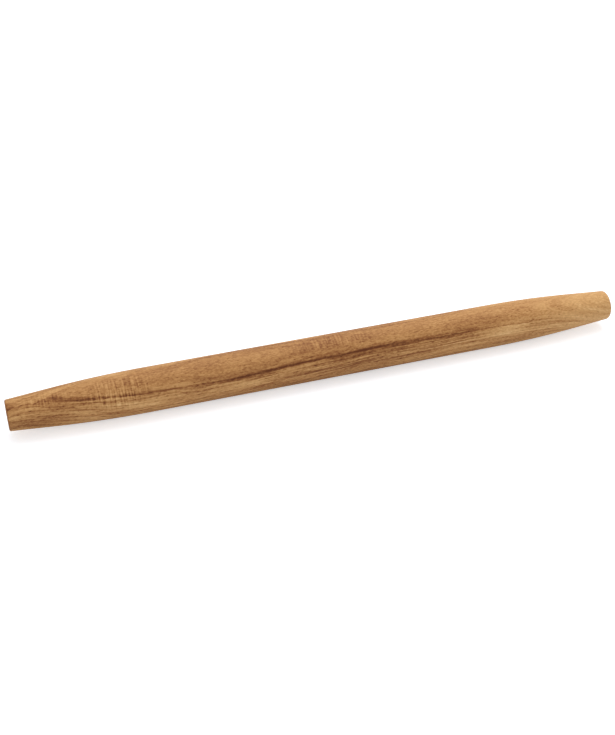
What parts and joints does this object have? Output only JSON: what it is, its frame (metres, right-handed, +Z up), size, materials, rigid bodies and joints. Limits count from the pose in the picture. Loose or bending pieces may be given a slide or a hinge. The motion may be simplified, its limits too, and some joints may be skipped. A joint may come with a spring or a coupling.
{
  "type": "french rolling pin",
  "caption": "Solid turned wooden rolling pin with a straight barrel and long tapered ends, for rolling out pastry and dough by hand.",
  "frame": {"origin": "middle of the pin's axis, halfway between the end faces, so the pin lies on a table at z = -0.0175", "axes": "+X along the pin's axis, +Y across it, away from the picture's camera, and +Z up; as the pin is turned round X, Y and Z are alike"},
  "size_m": [0.5, 0.035, 0.035],
  "materials": {
    "oiled_wood": "golden to mid-brown hardwood, fine sanded and oiled to a satin sheen, with dark growth lines and fine pores along the pin"
  },
  "bodies": {
    "root": {"rolling_pin": "oiled_wood"}
  },
  "joints": []
}
